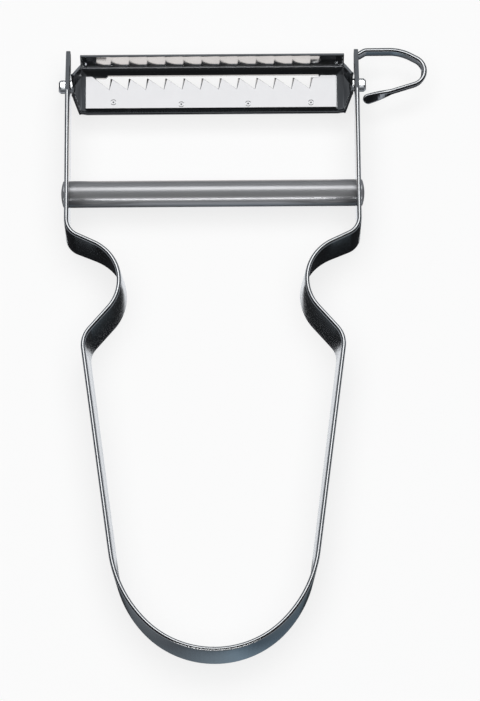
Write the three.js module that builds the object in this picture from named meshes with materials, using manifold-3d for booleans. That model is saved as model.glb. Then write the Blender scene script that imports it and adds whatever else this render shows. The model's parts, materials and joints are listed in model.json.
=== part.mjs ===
import * as THREE from "three";
import { mergeVertices } from "three/addons/utils/BufferGeometryUtils.js";
import Module from "manifold-3d";

// Julienne peeler: a bent steel strip handle, a crossbar riveted between its arms, a swivelling
// blade trough with a toothed comb on its floor, and a loop for cutting out eyes on the right arm.
// Millimetres. X runs across the handle, Y from the handle's crown to the blade, Z up.
// The origin is the middle of the crown's lower edge, on the plane that the peeler lies on.

const degrees = THREE.MathUtils.degToRad;

// Handle strip
const stripWidth = 11;
const stripThickness = 0.9;
const edgeLean = 0.8; // how far the lower edge is drawn in below the shoulders
const armGap = 58.8; // between the arms' inner faces
const crownRadius = 19;
const crownSweep = degrees(45);
const hipRadius = 25.2;
const legLean = degrees(7.5); // the legs spread upwards by this angle
const kneeY = 64.6; // sharp corner in which the knee bend is drawn
const kneeRadius = 5.5;
const waistX = 13.6;
const waistRise = 15.3; // from the knee's corner to the waist's
const waistRadius = 9.2;
const shoulderRise = 7.9; // from the waist's corner to the shoulder's
const shoulderRadius = 3.8;
const bendStep = degrees(7);

// Arms above the shoulders
const crossbarRise = 9.8; // from the shoulder's corner to the crossbar
const pivotRise = 24.1; // from the crossbar to the pivot axis
const armTaper = 3; // the arms begin to narrow this far below the pivot
const armReach = 7.9; // and end this far above it
const armTipRadius = 2;
const armTipSteps = 12;

// Crossbar and its rivets
const crossbarRadius = 2.75;
const shankRadius = 1.5;
const shankDepth = 6; // length of rivet inside the crossbar
const pressClearance = 0.04;
const domeRadius = 2.7;
const domeHeight = 0.8;
const roundSides = 40;

// Blade trough, seen along X, measured from the pivot axis
const bladeThickness = 0.6;
const floorDrop = 1.1; // from the pivot axis down to the floor's upper face
const valleyOut = 2.65; // from the pivot axis to the crease under the wall
const creaseAngle = degrees(15);
const wallLowerRadius = 2.85;
const wallBendAngle = degrees(69);
const wallUpperRadius = 88;
const wallRimAngle = degrees(71);
const floorReach = 4.95; // from the pivot axis to the lip's bend
const lipRadius = 0.6;
const lipAngle = degrees(80);
const lipLength = 0.9;
const earLength = 1.6; // stretch over which the trough draws in to a V-shaped ear
const earRoot = 0.5; // how far the drawn end runs back into the trough
const earWallWing = 2.8; // from the ear's fold to its edge, on the wall's side
const earFloorWing = 1.9; // and on the floor's side
const earShoulder = 0.2; // stretch over which the ear steps in to the pivot tab
const earGap = 0.3; // between the ear's shoulder and the arm

// Pivot tabs of the blade, V-shaped, through the windows in the arms
const foldDrop = 0.45; // from the pivot axis down to the fold
const foldWallSlope = degrees(45);
const foldFloorSlope = degrees(20);
const tabWing = 1.48; // from the fold to either edge
const tabReach = 1.55; // past the arm's outer face
const tabNose = 0.4; // length of the narrowed nose
const tabNoseShare = 0.7;
const tabClearance = 0.15;
const swingLimit = degrees(30);
const windowStep = degrees(5);

// Julienne comb, on the blade's floor
const combThickness = 0.5;
const combLeftMargin = 1.05; // from the end of the trough to the comb
const combRightMargin = 1.6;
const combLipGap = 0.25; // between the comb's straight edge and the lip's bend
const combGap = 0.1; // between the comb and the crease
const toothPitch = 3.775;
const toothDepth = 2.65;
const tipDrop = 0.35; // the tips stand this far below the comb's plain ends
const toothRake = 0.27;
const leftLand = 1.35; // plain length before the first slope
const firstTip = 5.15; // from the comb's left end to the first tooth
const lastTip = 1.9; // at least, from the last tooth to the slot's right end

// Slot in the blade under the teeth
const slotLeftMargin = 2.15; // from the comb's left end to the slot
const slotRightMargin = 3.2;
const slotUnderTeeth = 0.3; // how far the slot runs under the comb
const slotPastCrease = 0.2;
const slotStep = 1.95; // length of the lower step at the slot's left end
const slotChamfer = 0.5;

// Loop, measured from its root on the right arm to the sharp corners its bends are drawn in
const loopWidth = 2.1;
const loopThickness = 0.9;
const loopRootDrop = 1.4; // from the arm's tip
const loopSpringOut = 1.2;
const loopSpringUp = 0.8;
const loopSpringRadius = 1.5;
const loopCrestOut = 8.6;
const loopCrestUp = 0.85;
const loopCrestRadius = 9;
const loopNoseOut = 18.65;
const loopNoseDown = 4.5;
const loopNoseRadius = 3.1;
const loopTongueOut = 0.75;
const loopTongueDown = 9.7;
const loopLean = degrees(11); // the loop's lower edge leans inwards
const tongueTwist = degrees(45); // and the tongue turns its outer face up
const twistLength = 5;
const twistSteps = 5;
const tongueSteps = 5;

// Sizes that follow from the ones above
const armInner = armGap / 2;
const armOuter = armInner + stripThickness;
const armMiddle = armInner + stripThickness / 2;
const axisZ = stripWidth / 2;
const waistY = kneeY + waistRise;
const shoulderY = waistY + shoulderRise;
const crossbarY = shoulderY + crossbarRise;
const pivotY = crossbarY + pivotRise;
const armTipY = pivotY + armReach;
const earEnd = armInner - earGap - earShoulder;
const troughHalf = earEnd - earLength;
const tabEnd = armOuter + tabReach;
const floorZ = axisZ - floorDrop;
const combLeft = -troughHalf + combLeftMargin;
const combRight = troughHalf - combRightMargin;
const slotLeft = combLeft + slotLeftMargin;
const slotRight = combRight - slotRightMargin;
const combTopY = pivotY + valleyOut - combGap;
const combLowY = pivotY - floorReach + combLipGap;
const toothTipY = combTopY - tipDrop;
const toothRootY = toothTipY - toothDepth;
const spare = 10; // cutting tools overshoot what they cut by this much
const weldDistance = 1e-4; // points closer than this are one point

const wasm = await Module();
wasm.setup();

// A geometry as a solid that can be joined and cut.
function solidOf(geometry) {
  const bare = geometry.clone();
  bare.deleteAttribute("normal");
  bare.deleteAttribute("uv");
  const merged = mergeVertices(bare, weldDistance);
  const triVerts = new Uint32Array(merged.index.array);
  const vertProperties = new Float32Array(merged.attributes.position.array);
  return new wasm.Manifold(new wasm.Mesh({ numProp: 3, vertProperties, triVerts }));
}

// A solid back as a geometry.
function geometryOf(solid) {
  const mesh = solid.getMesh();
  const geometry = new THREE.BufferGeometry();
  geometry.setAttribute("position", new THREE.BufferAttribute(mesh.vertProperties, 3));
  geometry.setIndex(new THREE.BufferAttribute(mesh.triVerts, 1));
  return geometry;
}

// An outline drawn in (Y, Z) and extruded along X.
function extrudeAlongX(points, fromX, toX) {
  const shape = new THREE.Shape(points);
  const geometry = new THREE.ExtrudeGeometry(shape, { depth: toX - fromX, bevelEnabled: false });
  const turn = new THREE.Matrix4().makeBasis(
    new THREE.Vector3(0, 1, 0),
    new THREE.Vector3(0, 0, 1),
    new THREE.Vector3(1, 0, 0),
  );
  geometry.applyMatrix4(turn);
  return geometry.translate(fromX, 0, 0);
}

// An outline drawn in (X, Y) and extruded along Z.
function extrudeAlongZ(points, fromZ, toZ) {
  const shape = new THREE.Shape(points);
  const geometry = new THREE.ExtrudeGeometry(shape, { depth: toZ - fromZ, bevelEnabled: false });
  return geometry.translate(0, 0, fromZ);
}

// A profile of (radius, length) points turned about the X axis.
function latheAlongX(profile) {
  const points = profile.map(([radius, along]) => new THREE.Vector2(radius, along));
  return new THREE.LatheGeometry(points, roundSides).rotateZ(-Math.PI / 2);
}

// Stations along a bent line: each corner is rounded to its radius, and each station keeps the
// heading of the line there.
function bentLine(corners) {
  const stations = [];
  const add = (x, y, heading) => stations.push({ x, y, heading });
  const headingOf = (a, b) => Math.atan2(b.y - a.y, b.x - a.x);
  add(corners[0].x, corners[0].y, headingOf(corners[0], corners[1]));
  for (let i = 1; i < corners.length - 1; i++) {
    const corner = corners[i];
    const into = headingOf(corners[i - 1], corner);
    const out = headingOf(corner, corners[i + 1]);
    const turn = Math.atan2(Math.sin(out - into), Math.cos(out - into));
    const tangent = corner.radius * Math.tan(Math.abs(turn) / 2);
    const side = Math.sign(turn);
    const centreX = corner.x - tangent * Math.cos(into) - side * corner.radius * Math.sin(into);
    const centreY = corner.y - tangent * Math.sin(into) + side * corner.radius * Math.cos(into);
    const steps = Math.ceil(Math.abs(turn) / bendStep);
    for (let k = 0; k <= steps; k++) {
      const heading = into + (turn * k) / steps;
      const x = centreX + side * corner.radius * Math.sin(heading);
      const y = centreY - side * corner.radius * Math.cos(heading);
      add(x, y, heading);
    }
  }
  const last = corners[corners.length - 1];
  add(last.x, last.y, headingOf(corners[corners.length - 2], last));
  return stations;
}

// A solid formed from sheet. Each station is a row of point pairs across the sheet, one point on
// each of its two faces, and the stations follow each other along the sheet. The first face is the
// one on the side of the cross product of the way along and the way across.
function formedSheet(stations) {
  const across = stations[0].length;
  const positions = stations.flat(2).flatMap((point) => [point.x, point.y, point.z]);
  const index = [];
  const at = (station, place, face) => (station * across + place) * 2 + face;
  const quad = (a, b, c, d) => index.push(a, b, c, a, c, d);
  for (let s = 0; s < stations.length - 1; s++) {
    for (let p = 0; p < across - 1; p++) {
      quad(at(s, p, 0), at(s + 1, p, 0), at(s + 1, p + 1, 0), at(s, p + 1, 0));
      quad(at(s, p, 1), at(s, p + 1, 1), at(s + 1, p + 1, 1), at(s + 1, p, 1));
    }
    quad(at(s, 0, 0), at(s, 0, 1), at(s + 1, 0, 1), at(s + 1, 0, 0));
    const edge = across - 1;
    quad(at(s, edge, 0), at(s + 1, edge, 0), at(s + 1, edge, 1), at(s, edge, 1));
  }
  const end = stations.length - 1;
  for (let p = 0; p < across - 1; p++) {
    quad(at(0, p, 0), at(0, p + 1, 0), at(0, p + 1, 1), at(0, p, 1));
    quad(at(end, p, 0), at(end, p, 1), at(end, p + 1, 1), at(end, p + 1, 0));
  }
  const geometry = new THREE.BufferGeometry();
  geometry.setAttribute("position", new THREE.Float32BufferAttribute(positions, 3));
  geometry.setIndex(index);
  return geometry;
}

// The handle's line along the strip's upper edge, from the middle of the crown up the right side.
function rightHandleLine() {
  const crownTangent = crownRadius * Math.tan(crownSweep / 2);
  const hipTurn = Math.PI / 2 - legLean - crownSweep;
  const hipTangent = hipRadius * Math.tan(hipTurn / 2);
  const crown = { x: crownTangent, y: -edgeLean, radius: crownRadius };
  const hip = {
    x: crown.x + (crownTangent + hipTangent) * Math.cos(crownSweep),
    y: crown.y + (crownTangent + hipTangent) * Math.sin(crownSweep),
    radius: hipRadius,
  };
  const knee = { x: hip.x + (kneeY - hip.y) * Math.tan(legLean), y: kneeY, radius: kneeRadius };
  const waist = { x: waistX, y: waistY, radius: waistRadius };
  const shoulder = { x: armMiddle, y: shoulderY, radius: shoulderRadius };
  const middle = { x: 0, y: -edgeLean };
  const tip = { x: armMiddle, y: armTipY };
  return bentLine([middle, crown, hip, knee, waist, shoulder, tip]);
}

// Point pairs across the strip at one station: upper edge, then lower edge, inner face first.
function stripAcross({ x, y, heading }) {
  const inX = -Math.sin(heading);
  const inY = Math.cos(heading);
  const lean = edgeLean * (1 - THREE.MathUtils.smoothstep(y, waistY, shoulderY));
  const place = (inward, z) => new THREE.Vector3(x + inX * inward, y + inY * inward, z);
  const half = stripThickness / 2;
  return [
    [place(half, stripWidth), place(-half, stripWidth)],
    [place(lean + half, 0), place(lean - half, 0)],
  ];
}

// What is cut away round the tapered, rounded end of an arm, in (Y, Z).
function armEndWaste() {
  const taperY = pivotY - armTaper;
  const noseY = armTipY - armTipRadius;
  const slope = Math.atan2(axisZ - armTipRadius, noseY - taperY);
  const points = [
    new THREE.Vector2(taperY, 0),
    new THREE.Vector2(taperY, -spare),
    new THREE.Vector2(armTipY + spare, -spare),
    new THREE.Vector2(armTipY + spare, stripWidth + spare),
    new THREE.Vector2(taperY, stripWidth + spare),
    new THREE.Vector2(taperY, stripWidth),
  ];
  const nose = new THREE.Path();
  nose.absarc(noseY, axisZ, armTipRadius, Math.PI / 2 - slope, slope - Math.PI / 2, true);
  return points.concat(nose.getPoints(armTipSteps));
}

// Mid-line of a V about the pivot axis, as (Y, Z). Places run from 1 at the edge on the wall's side
// through 0 at the fold to -1 at the edge on the floor's side.
function foldLine(places, wallWing, floorWing) {
  return places.map((place) => {
    const out = place > 0 ? place * wallWing : -place * floorWing;
    const slope = place > 0 ? foldWallSlope : Math.PI - foldFloorSlope;
    return new THREE.Vector2(out * Math.cos(slope), out * Math.sin(slope) - foldDrop);
  });
}

// Point pairs on both faces of a sheet whose mid-line is given in (Y, Z), at one X.
function sheetAcross(line, thickness, x) {
  return line.map((point, i) => {
    const before = line[Math.max(i - 1, 0)];
    const after = line[Math.min(i + 1, line.length - 1)];
    const into = point.clone().sub(i > 0 ? before : after).normalize();
    const out = after.clone().sub(i < line.length - 1 ? point : before).normalize();
    if (i === 0) into.copy(out);
    if (i === line.length - 1) out.copy(into);
    const normal = new THREE.Vector2(-into.y - out.y, into.x + out.x).normalize();
    const half = thickness / 2 / normal.dot(new THREE.Vector2(-into.y, into.x));
    const face = (out) => {
      const y = pivotY + point.x + out * normal.x;
      const z = axisZ + point.y + out * normal.y;
      return new THREE.Vector3(x, y, z);
    };
    return [face(half), face(-half)];
  });
}

// Facets round the trough's bends, and the share of the ear's floor side that the lip draws in to.
const wallUpperSteps = 3;
const wallLowerSteps = 8;
const lipSteps = 5;
const lipShare = 0.5;

// Mid-line of the trough about the pivot axis, as (Y, Z), from the rim of the wall to the lip's
// edge, with the place on the ear's fold line that each point draws in to.
function troughLine() {
  const floorMid = -floorDrop - bladeThickness / 2;
  const points = [];
  const places = [];
  const lowerRadius = wallLowerRadius + bladeThickness / 2;
  const upperRadius = wallUpperRadius + bladeThickness / 2;
  const lowerAt = (angle) =>
    new THREE.Vector2(
      valleyOut + lowerRadius * (Math.sin(angle) - Math.sin(creaseAngle)),
      floorMid + lowerRadius * (Math.cos(creaseAngle) - Math.cos(angle)),
    );
  const bend = lowerAt(wallBendAngle);
  const upperAt = (angle) =>
    new THREE.Vector2(
      bend.x + upperRadius * (Math.sin(angle) - Math.sin(wallBendAngle)),
      bend.y + upperRadius * (Math.cos(wallBendAngle) - Math.cos(angle)),
    );
  for (let k = 0; k < wallUpperSteps; k++) {
    points.push(upperAt(THREE.MathUtils.lerp(wallRimAngle, wallBendAngle, k / wallUpperSteps)));
  }
  for (let k = 0; k <= wallLowerSteps; k++) {
    points.push(lowerAt(THREE.MathUtils.lerp(wallBendAngle, creaseAngle, k / wallLowerSteps)));
  }
  const wallSteps = points.length - 1;
  for (let k = 0; k <= wallSteps; k++) places.push(1 - k / wallSteps);
  const lipMidRadius = lipRadius + bladeThickness / 2;
  for (let k = 0; k <= lipSteps; k++) {
    const angle = (lipAngle * k) / lipSteps;
    const y = -floorReach - lipMidRadius * Math.sin(angle);
    points.push(new THREE.Vector2(y, floorMid + lipMidRadius * (1 - Math.cos(angle))));
  }
  const bendEnd = points[points.length - 1];
  const edgeY = bendEnd.x - lipLength * Math.cos(lipAngle);
  points.push(new THREE.Vector2(edgeY, bendEnd.y + lipLength * Math.sin(lipAngle)));
  const lipPlaces = lipSteps + 2;
  for (let k = 0; k < lipPlaces; k++) places.push(lipShare - 1 - (lipShare * k) / (lipPlaces - 1));
  return { points, places };
}

// The swivelling trough with the slot under the teeth. Below its bend the sheet runs on past each end,
// drawn in to an ear and a pivot tab.
function peelingBlade() {
  const { points, places } = troughLine();
  const sheetAt = ({ line, x }) => sheetAcross(line, bladeThickness, x);
  const trough = solidOf(formedSheet([-troughHalf, troughHalf].map((x) => sheetAt({ line: points, x }))));
  const bend = wallUpperSteps;
  const drawn = points.slice(bend);
  const earPlaces = places.slice(bend).map((place) => (place > 0 ? place / places[bend] : place));
  const ear = foldLine(earPlaces, earWallWing, earFloorWing);
  const tab = foldLine(earPlaces, tabWing, tabWing);
  const nose = tab.map((point) => point.clone().multiplyScalar(tabNoseShare));
  const rightRows = [
    { line: drawn, x: troughHalf - earRoot },
    { line: drawn, x: troughHalf },
    { line: ear, x: earEnd },
    { line: tab, x: earEnd + earShoulder },
    { line: tab, x: tabEnd - tabNose },
    { line: nose, x: tabEnd },
  ];
  const leftRows = rightRows.map(({ line, x }) => ({ line, x: -x })).reverse();
  const rightEnd = solidOf(formedSheet(rightRows.map(sheetAt)));
  const leftEnd = solidOf(formedSheet(leftRows.map(sheetAt)));
  const whole = trough.add(rightEnd).add(leftEnd);
  const slotTop = pivotY + valleyOut + slotPastCrease;
  const slotLow = toothRootY - slotUnderTeeth;
  const slotOutline = [
    new THREE.Vector2(slotLeft, slotLow),
    new THREE.Vector2(slotRight, slotLow),
    new THREE.Vector2(slotRight, slotTop - slotChamfer),
    new THREE.Vector2(slotRight - slotChamfer, slotTop),
    new THREE.Vector2(slotLeft + slotStep + slotChamfer, slotTop),
    new THREE.Vector2(slotLeft + slotStep, slotTop - slotChamfer),
    new THREE.Vector2(slotLeft, slotTop - slotChamfer),
  ];
  const slot = extrudeAlongZ(slotOutline, -spare, stripWidth + spare);
  return geometryOf(whole.subtract(solidOf(slot)));
}

// The window in both arms that the pivot tabs turn in: the tab's section, with its clearance, at
// each step of its swing.
function pivotWindow() {
  const wing = tabWing + tabClearance;
  const line = foldLine([1, 0, -1], wing, wing);
  const pairs = sheetAcross(line, bladeThickness + 2 * tabClearance, 0);
  const outline = pairs.map((pair) => pair[0]).concat(pairs.map((pair) => pair[1]).reverse());
  const steps = Math.ceil((2 * swingLimit) / windowStep);
  const centre = new THREE.Vector2(pivotY, axisZ);
  let cut = null;
  for (let k = 0; k <= steps; k++) {
    const angle = THREE.MathUtils.lerp(-swingLimit, swingLimit, k / steps);
    const turned = outline.map((point) => new THREE.Vector2(point.y, point.z).rotateAround(centre, angle));
    const copy = solidOf(extrudeAlongX(turned, -armOuter - spare, armOuter + spare));
    cut = cut ? cut.add(copy) : copy;
  }
  return cut;
}

// A round bar along X between two places.
function roundBar(radius, fromX, toX) {
  return latheAlongX([
    [0, fromX],
    [radius, fromX],
    [radius, toX],
    [0, toX],
  ]);
}

// The strip bent into crown, legs, waist and arms, with its rivet holes and pivot windows.
function handleBow() {
  const right = rightHandleLine();
  const left = right.slice(1).reverse().map(({ x, y, heading }) => ({ x: -x, y, heading: -heading }));
  const strip = solidOf(formedSheet(left.concat(right).map(stripAcross)));
  const ends = solidOf(extrudeAlongX(armEndWaste(), -armOuter - spare, armOuter + spare));
  const hole = roundBar(shankRadius + pressClearance, -armOuter - spare, armOuter + spare);
  hole.translate(0, crossbarY, axisZ);
  return geometryOf(strip.subtract(ends).subtract(solidOf(hole)).subtract(pivotWindow()));
}

// A tube between the arms, bored for the rivet shanks.
function crossbar() {
  const bore = shankRadius + pressClearance;
  const tube = latheAlongX([
    [bore, -armInner],
    [crossbarRadius, -armInner],
    [crossbarRadius, armInner],
    [bore, armInner],
    [bore, -armInner],
  ]);
  return tube.translate(0, crossbarY, axisZ);
}

// A domed rivet for the right arm: shank in the crossbar, head on the arm's outer face.
function domedRivet() {
  const domeSteps = 6;
  const ball = (domeRadius ** 2 + domeHeight ** 2) / (2 * domeHeight);
  const profile = [
    [0, armInner - shankDepth],
    [shankRadius, armInner - shankDepth],
    [shankRadius, armOuter],
  ];
  for (let k = 0; k <= domeSteps; k++) {
    const radius = domeRadius * (1 - k / domeSteps);
    profile.push([radius, armOuter + domeHeight - ball + Math.sqrt(ball ** 2 - radius ** 2)]);
  }
  return latheAlongX(profile);
}

// Flat plate with a row of raked teeth along its upper edge.
function julienneComb() {
  const toothRun = slotRight - lastTip - combLeft - firstTip;
  const toothCount = 1 + Math.floor(toothRun / toothPitch);
  const outline = [
    new THREE.Vector2(combLeft, combLowY),
    new THREE.Vector2(combRight, combLowY),
    new THREE.Vector2(combRight, combTopY),
    new THREE.Vector2(slotRight, combTopY),
    new THREE.Vector2(slotRight - tipDrop, toothTipY),
  ];
  for (let k = toothCount - 1; k >= 0; k--) {
    const tipX = combLeft + firstTip + k * toothPitch;
    outline.push(new THREE.Vector2(tipX, toothTipY));
    outline.push(new THREE.Vector2(tipX - toothRake, toothRootY));
  }
  outline.push(new THREE.Vector2(combLeft + leftLand, combTopY));
  outline.push(new THREE.Vector2(combLeft, combTopY));
  return extrudeAlongZ(outline, floorZ, floorZ + combThickness);
}

// Narrow strip bent into a loop beside the right arm, with a rounded, twisted tongue at its free end.
function eyerLoop() {
  const rootY = armTipY - loopRootDrop;
  const corner = (out, up, radius) => ({ x: armOuter + out, y: rootY + up, radius });
  const line = bentLine([
    corner(0, 0),
    corner(loopSpringOut, loopSpringUp, loopSpringRadius),
    corner(loopCrestOut, loopCrestUp, loopCrestRadius),
    corner(loopNoseOut, -loopNoseDown, loopNoseRadius),
    corner(loopTongueOut, -loopTongueDown),
  ]);
  const round = loopWidth / 2;
  const tip = line.pop();
  const stations = line.map((station) => ({ ...station, share: 1, twist: -loopLean }));
  stations[0].heading = 0;
  const addBeforeTip = (back, share, twist) =>
    stations.push({
      x: tip.x - back * Math.cos(tip.heading),
      y: tip.y - back * Math.sin(tip.heading),
      heading: tip.heading,
      share,
      twist,
    });
  for (let k = 0; k < twistSteps; k++) {
    const back = round + twistLength * (1 - k / twistSteps);
    addBeforeTip(back, 1, THREE.MathUtils.lerp(-loopLean, tongueTwist, k / twistSteps));
  }
  for (let k = 0; k < tongueSteps; k++) {
    const swing = (Math.PI / 2) * (k / tongueSteps);
    addBeforeTip(round * (1 - Math.sin(swing)), Math.cos(swing), tongueTwist);
  }
  const rows = stations.map(({ x, y, heading, share, twist }) => {
    const side = new THREE.Vector3(-Math.sin(heading), Math.cos(heading), 0);
    const along = new THREE.Vector3(Math.cos(heading), Math.sin(heading), 0);
    const face = side.clone().applyAxisAngle(along, twist).multiplyScalar(loopThickness / 2);
    const rise = new THREE.Vector3(0, 0, round * share).applyAxisAngle(along, twist);
    const middle = new THREE.Vector3(x, y, axisZ);
    const pair = (up) => [
      middle.clone().addScaledVector(rise, up).add(face),
      middle.clone().addScaledVector(rise, up).sub(face),
    ];
    return [pair(1), pair(-1)];
  });
  return formedSheet(rows);
}

const steel = (color, roughness) => new THREE.MeshStandardMaterial({ color, roughness, metalness: 1 });
const stripSteel = steel(0xb9bcc0, 0.28);
const barSteel = steel(0x8d8f93, 0.4);
const bladeSteel = steel(0x6f757a, 0.2);
const combSteel = steel(0xe4e4e6, 0.45);

const peeler = new THREE.Group();
function add(name, geometry, material) {
  const mesh = new THREE.Mesh(geometry, material);
  mesh.name = name;
  peeler.add(mesh);
  return mesh;
}

add("handle_bow", handleBow(), stripSteel);
add("crossbar", crossbar(), barSteel);
for (const [name, turn] of [["left_rivet", Math.PI], ["right_rivet", 0]]) {
  const rivet = add(name, domedRivet(), barSteel.clone());
  rivet.rotation.z = turn;
  rivet.position.set(0, crossbarY, axisZ);
}
add("peeling_blade", peelingBlade(), bladeSteel);
add("julienne_comb", julienneComb(), combSteel);
add("eyer_loop", eyerLoop(), stripSteel.clone());

export default peeler;
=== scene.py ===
# %% [markdown]
# A julienne peeler in bent steel
#
# The peeler is a strip of steel bent into a bow, with a round bar riveted between its arms, a blade
# trough that swivels at the top, a toothed comb welded into the trough and a small loop of narrow
# strip for cutting out eyes. Every piece is steel, so this lesson is about clean bends, eased edges
# and what the metal reflects. The measured model is loaded first, and every piece is built around it
# in the same frame, in metres.

# %% Load the measured model
import json
import math
import bmesh
import bpy
from mathutils import Matrix, Vector


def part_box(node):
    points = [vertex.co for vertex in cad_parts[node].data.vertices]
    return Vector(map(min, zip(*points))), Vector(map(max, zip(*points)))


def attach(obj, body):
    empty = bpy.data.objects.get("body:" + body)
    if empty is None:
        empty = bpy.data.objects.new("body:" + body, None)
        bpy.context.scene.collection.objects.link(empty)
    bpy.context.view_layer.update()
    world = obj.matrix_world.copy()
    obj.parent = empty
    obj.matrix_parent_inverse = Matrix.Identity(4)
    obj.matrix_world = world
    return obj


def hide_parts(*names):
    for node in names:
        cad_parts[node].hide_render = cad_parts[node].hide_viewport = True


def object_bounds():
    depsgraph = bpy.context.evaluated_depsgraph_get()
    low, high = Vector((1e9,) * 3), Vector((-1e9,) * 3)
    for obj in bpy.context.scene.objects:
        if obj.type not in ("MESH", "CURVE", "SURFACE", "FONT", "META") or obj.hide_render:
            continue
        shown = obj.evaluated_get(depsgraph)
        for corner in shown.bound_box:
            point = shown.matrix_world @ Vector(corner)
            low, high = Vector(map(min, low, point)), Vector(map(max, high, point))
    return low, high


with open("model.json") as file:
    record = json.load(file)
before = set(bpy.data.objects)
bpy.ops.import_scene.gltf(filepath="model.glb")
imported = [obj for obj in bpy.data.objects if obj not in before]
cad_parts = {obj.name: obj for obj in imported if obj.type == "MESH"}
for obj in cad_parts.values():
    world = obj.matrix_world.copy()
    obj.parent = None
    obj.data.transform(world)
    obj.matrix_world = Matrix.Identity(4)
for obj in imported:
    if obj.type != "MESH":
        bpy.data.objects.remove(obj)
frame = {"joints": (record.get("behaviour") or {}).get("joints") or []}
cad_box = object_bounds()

MM = 0.001
size = cad_box[1] - cad_box[0]
print("measured model, mm:", [round(edge / MM, 1) for edge in size])

# %% [markdown]
# The handle's line
#
# The bow follows one line seen from above: a crown of two radii, straight legs that spread, a knee,
# a waist for the finger and thumb, a shoulder and a straight arm. A bender would note it as a list of
# straight lengths and bends. The line is drawn here the same way: sharp corners with a radius each
# are turned into straights and bends, and the strip is then pushed along them.

# %% Corners of the bow
bow_low, bow_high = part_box("handle_bow")
STRIP_WIDTH = bow_high.z - bow_low.z
STRIP_THICKNESS = 0.9 * MM
EDGE_LEAN = 0.8 * MM
ARM_X = bow_high.x - STRIP_THICKNESS / 2
AXIS_Z = STRIP_WIDTH / 2
PIVOT = Vector(frame["joints"][0]["pos_m"])
bar_low, bar_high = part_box("crossbar")
BAR_Y = (bar_low.y + bar_high.y) / 2
CROWN_RADIUS = 19 * MM
CROWN_SWEEP = math.radians(45)
HIP_RADIUS = 25.2 * MM
LEG_LEAN = math.radians(7.5)
KNEE_Y = 64.6 * MM
WAIST = Vector((13.6 * MM, 79.9 * MM))
SHOULDER_Y = 87.8 * MM
KNEE_RADIUS, WAIST_RADIUS, SHOULDER_RADIUS = 5.5 * MM, 9.2 * MM, 3.8 * MM
TAPER_Y = PIVOT.y - 3 * MM

crown_run = CROWN_RADIUS * math.tan(CROWN_SWEEP / 2)
hip_run = HIP_RADIUS * math.tan((math.pi / 2 - LEG_LEAN - CROWN_SWEEP) / 2)
crown_corner = Vector((crown_run, -EDGE_LEAN))
hip_heading = Vector((math.cos(CROWN_SWEEP), math.sin(CROWN_SWEEP)))
hip_corner = crown_corner + (crown_run + hip_run) * hip_heading
knee_corner = Vector((hip_corner.x + (KNEE_Y - hip_corner.y) * math.tan(LEG_LEAN), KNEE_Y))
bow_corners = [
    # each corner and the radius of the bend there
    (Vector((0, -EDGE_LEAN)), 0),
    (crown_corner, CROWN_RADIUS),
    (hip_corner, HIP_RADIUS),
    (knee_corner, KNEE_RADIUS),
    (WAIST, WAIST_RADIUS),
    (Vector((ARM_X, SHOULDER_Y)), SHOULDER_RADIUS),
    (Vector((ARM_X, TAPER_Y)), 0),
]


def bends_and_straights(corners):
    """The moves along a line of corners: ("straight", length) or ("bend", radius, turn to the left)."""
    moves = []
    spent = 0
    for (a, _), (b, radius), (c, _) in zip(corners, corners[1:], corners[2:]):
        turn = (b - a).angle_signed(c - b) * -1
        tangent = radius * math.tan(abs(turn) / 2)
        moves.append(("straight", (b - a).length - spent - tangent))
        moves.append(("bend", radius, turn))
        spent = tangent
    moves.append(("straight", (corners[-1][0] - corners[-2][0]).length - spent))
    return moves


bow_moves = bends_and_straights(bow_corners)
print("bow moves:", [(kind, *[round(v, 4) for v in values]) for kind, *values in bow_moves])

# %% [markdown]
# Pushing a section along the line
#
# A strip with a round-edged section could be a curve with a bevel object, but then its lean, taper
# and end could not change on the way. Extruding the end face again and again, and moving or turning
# it after each step, gives full control and even quads. Each ring remembers how far along the strip
# it lies, so that the brushed lines of the finish can follow the bends later.

# %% Extrude, turn and push
BEND_STEP = math.radians(3)


class Sweep:
    """An end face that is pushed along a line and leaves a strip behind it."""

    def __init__(self, bm, cap, place, heading):
        self.bm, self.cap, self.place, self.heading = bm, cap, place.copy(), heading
        self.run_layer = bm.verts.layers.float.new("run")
        self.run = 0.0

    def verts(self):
        return list(self.cap.verts)

    def ahead(self):
        return Vector((math.cos(self.heading), math.sin(self.heading), 0))

    def left(self):
        return Vector((-math.sin(self.heading), math.cos(self.heading), 0))

    def grow(self, length):
        """Extrudes the end face in place, ready to be moved, and counts the length.

        The old end face stays inside the strip, because its edges aren't handed over with it, and
        the edges round it then count as sharp.
        """
        grown = bmesh.ops.extrude_face_region(self.bm, geom=[self.cap])["geom"]
        self.cap = next(item for item in grown if isinstance(item, bmesh.types.BMFace))
        self.run += length
        for vert in self.cap.verts:
            vert[self.run_layer] = self.run

    def straight(self, length):
        self.grow(length)
        step = length * self.ahead()
        bmesh.ops.translate(self.bm, verts=self.verts(), vec=step)
        self.place += step

    def turn(self, radius, angle):
        """One step round a bend, to the left where the angle is positive."""
        self.grow(radius * abs(angle))
        centre = self.place + math.copysign(radius, angle) * self.left()
        spin = Matrix.Rotation(angle, 3, "Z")
        bmesh.ops.rotate(self.bm, verts=self.verts(), cent=centre, matrix=spin)
        self.place = centre + spin @ (self.place - centre)
        self.heading += angle

    def follow(self, moves, after_step=lambda sweep: None):
        """Goes through the moves, and calls after_step with the sweep after each step."""
        for kind, *values in moves:
            if kind == "straight":
                self.straight(values[0])
                after_step(self)
                continue
            radius, total = values
            steps = math.ceil(abs(total) / BEND_STEP)
            for _ in range(steps):
                self.turn(radius, total / steps)
                after_step(self)


print("a bend takes a step every", round(math.degrees(BEND_STEP), 1), "degrees")

# %% Strip section and finished piece
SMOOTH_ANGLE = math.radians(35)
EDGE_STEPS = 6


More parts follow.
